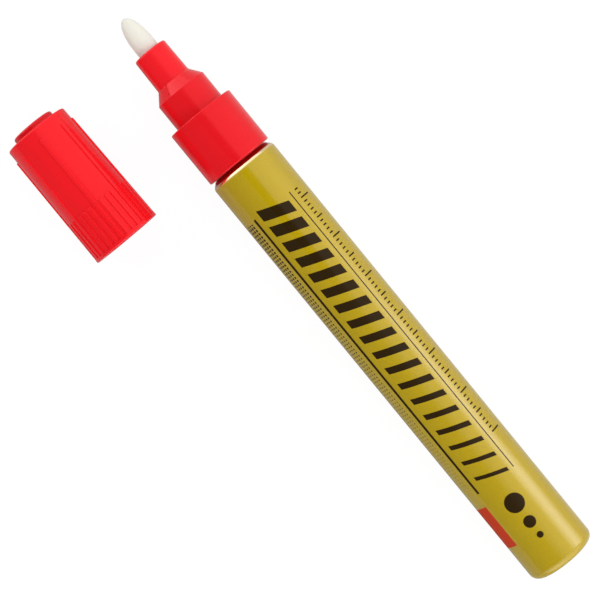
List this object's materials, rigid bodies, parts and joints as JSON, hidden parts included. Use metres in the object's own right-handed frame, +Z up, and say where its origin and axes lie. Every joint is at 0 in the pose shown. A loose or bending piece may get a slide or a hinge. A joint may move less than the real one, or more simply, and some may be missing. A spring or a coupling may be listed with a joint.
{
  "type": "paint marker",
  "caption": "Valve paint marker with a bullet nib in a stepped red nose, a gold lacquered aluminium barrel and a ribbed push-on cap laid beside it.",
  "frame": {"origin": "on the surface that the marker and its cap lie on, under the middle of the whole part's box", "axes": "+X along the marker from the barrel's base to the nib, +Y from the marker to the cap, +Z up"},
  "size_m": [0.1398, 0.0422, 0.0152],
  "materials": {
    "gold_lacquer": "satin gold lacquer",
    "red_plastic": "gloss moulded",
    "nib_fibre": "bonded fibre",
    "seal_rubber": "matte",
    "natural_plastic": "natural",
    "spring_steel": "drawn wire",
    "ball_steel": "polished"
  },
  "bodies": {
    "marker": {"barrel": "gold_lacquer", "nose_holder": "red_plastic", "valve_seat": "seal_rubber", "valve_housing": "natural_plastic", "valve_spring": "spring_steel"},
    "nib": {"nib": "nib_fibre"},
    "valve": {"valve_stem": "natural_plastic"},
    "ball": {"mixing_ball": "ball_steel"},
    "cap": {"cap_shell": "red_plastic", "inner_cap": "red_plastic"}
  },
  "joints": [
    {"name": "nib_press", "type": "slide", "parent": "marker", "child": "nib", "axis": [-1, 0, 0], "range_m": [0, 0.0024], "stiffness_N_per_m": 250, "springref_m": -0.0016},
    {"name": "valve_lift", "type": "slide", "parent": "marker", "child": "valve", "axis": [-1, 0, 0], "range_m": [0, 0.0024], "deforming": ["valve_spring"]},
    {"name": "ball_run", "type": "slide", "parent": "marker", "child": "ball", "axis": [1, 0, 0], "range_m": [0, 0.0765]},
    {"name": "cap_pull", "type": "slide", "parent": "marker", "child": "cap", "axis": [1, 0.0099, 0], "range_m": [0, 0.0241]}
  ],
  "couplings": [
    {"joint": "valve_lift", "follows": "nib_press", "ratio": 1}
  ]
}
